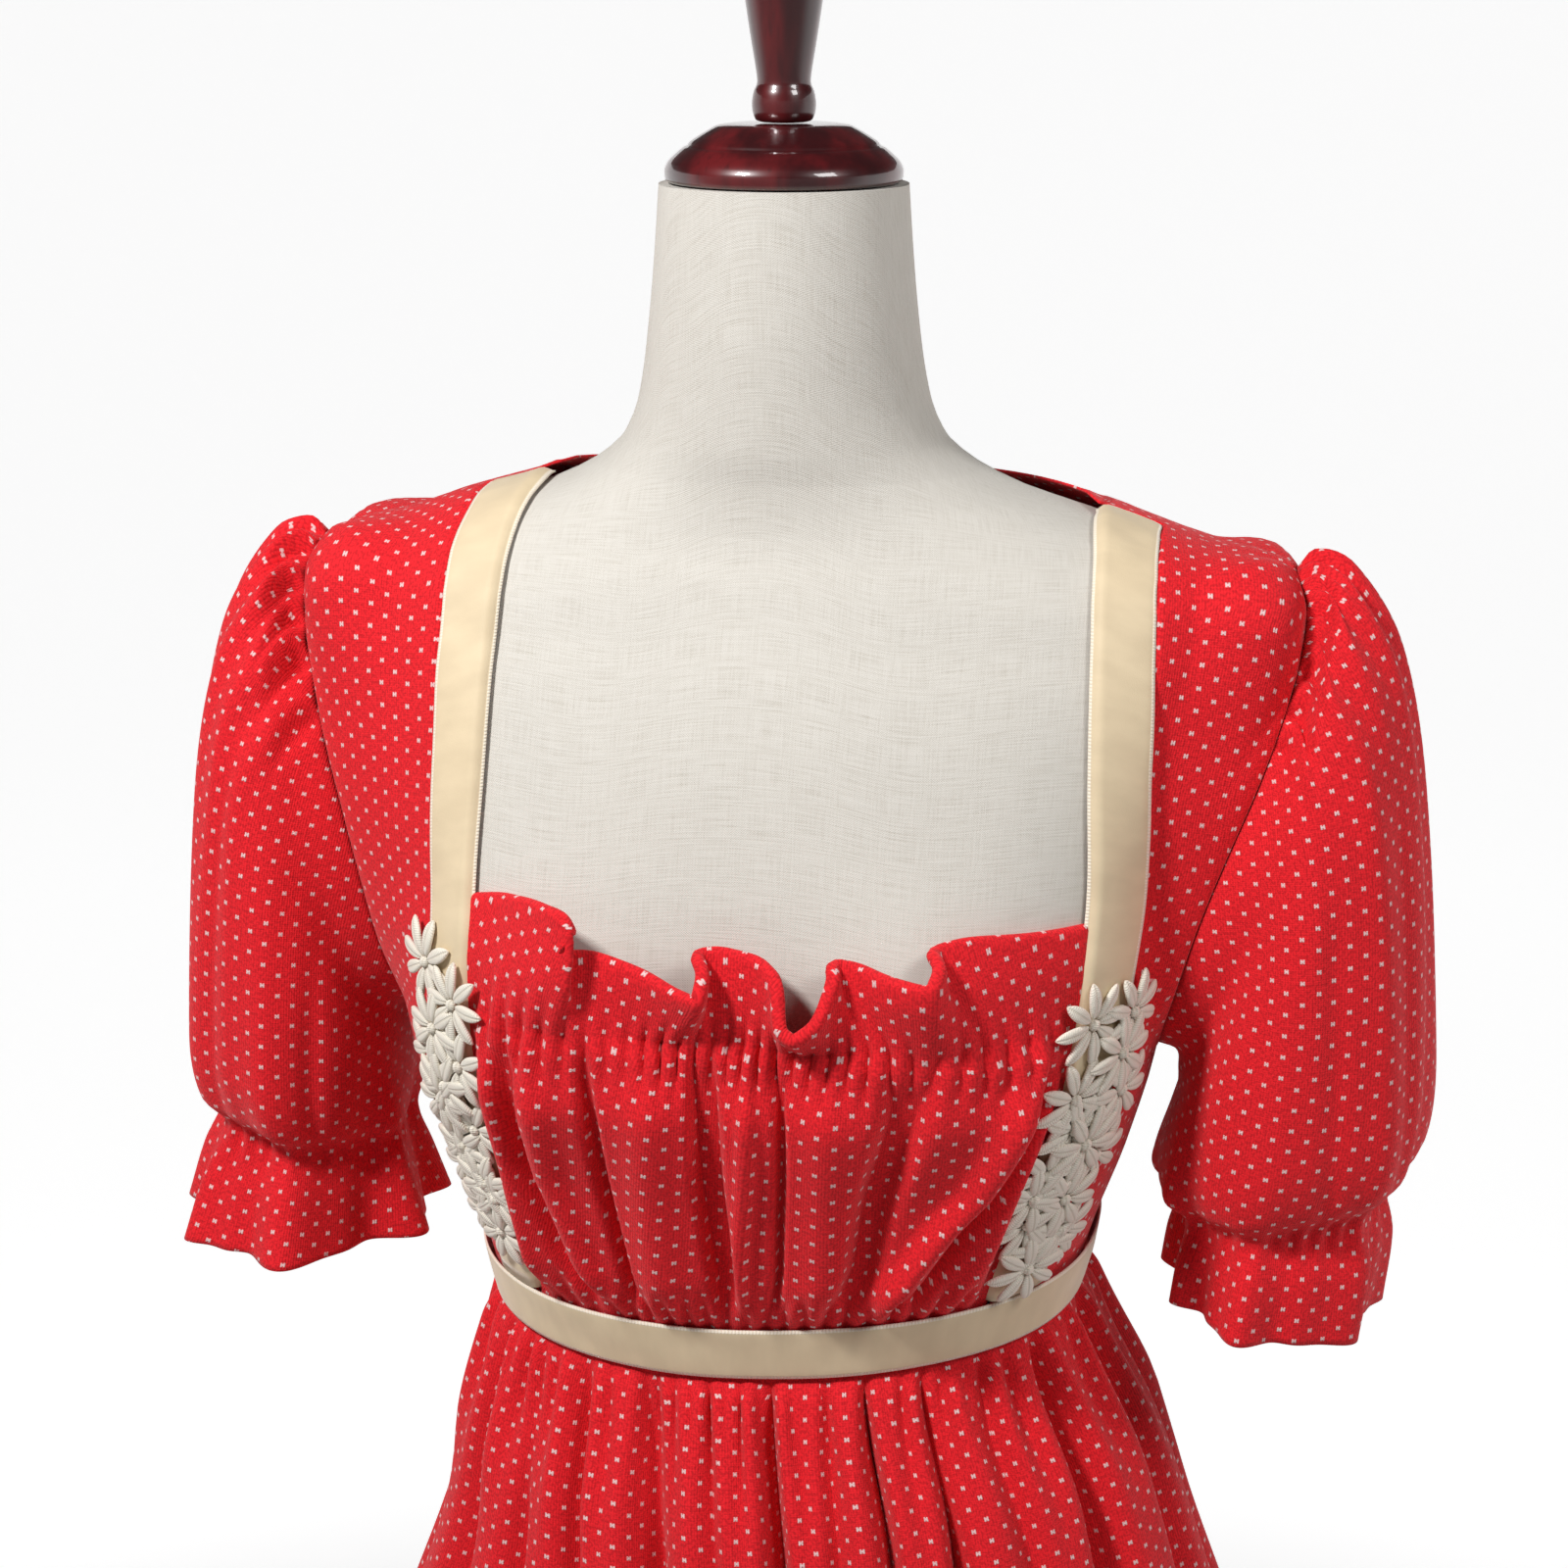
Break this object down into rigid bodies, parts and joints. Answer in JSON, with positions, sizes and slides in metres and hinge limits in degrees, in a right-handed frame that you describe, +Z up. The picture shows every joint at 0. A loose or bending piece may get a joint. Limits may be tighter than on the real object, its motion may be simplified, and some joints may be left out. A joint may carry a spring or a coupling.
{
  "type": "babydoll dress on a limbless dress form with a turned stand",
  "caption": "Red pin-dotted babydoll dress with puff sleeves, gathered bust, velvet ribbons and daisy lace, worn by a linen dress form on a turned wooden stand.",
  "frame": {"origin": "centre of the stand's underside, on the floor", "axes": "+Z up the pole, -Y towards the dress's front, +X to the right of someone who faces the front"},
  "size_m": [0.5562, 0.4883, 1.644],
  "materials": {
    "red_cloth": "matt red crepe with small white pin dots",
    "velvet_ribbon": "cream velvet ribbon with satin edges",
    "lace": "white embroidered daisy lace",
    "linen": "off-white linen stretched over the form",
    "dark_wood": "dark cherry wood, glossy lacquer"
  },
  "bodies": {
    "root": {"back": "red_cloth", "bust_panel": "red_cloth", "form_base": "dark_wood", "form_cap": "dark_wood", "form_finial": "dark_wood", "form_pole": "dark_wood", "form_torso": "linen", "lace_left": "lace", "lace_right": "lace", "ribbon_left": "velvet_ribbon", "ribbon_right": "velvet_ribbon", "ribbon_waist": "velvet_ribbon", "side_front_left": "red_cloth", "side_front_right": "red_cloth", "skirt": "red_cloth", "sleeve_left": "red_cloth", "sleeve_right": "red_cloth"}
  },
  "joints": []
}
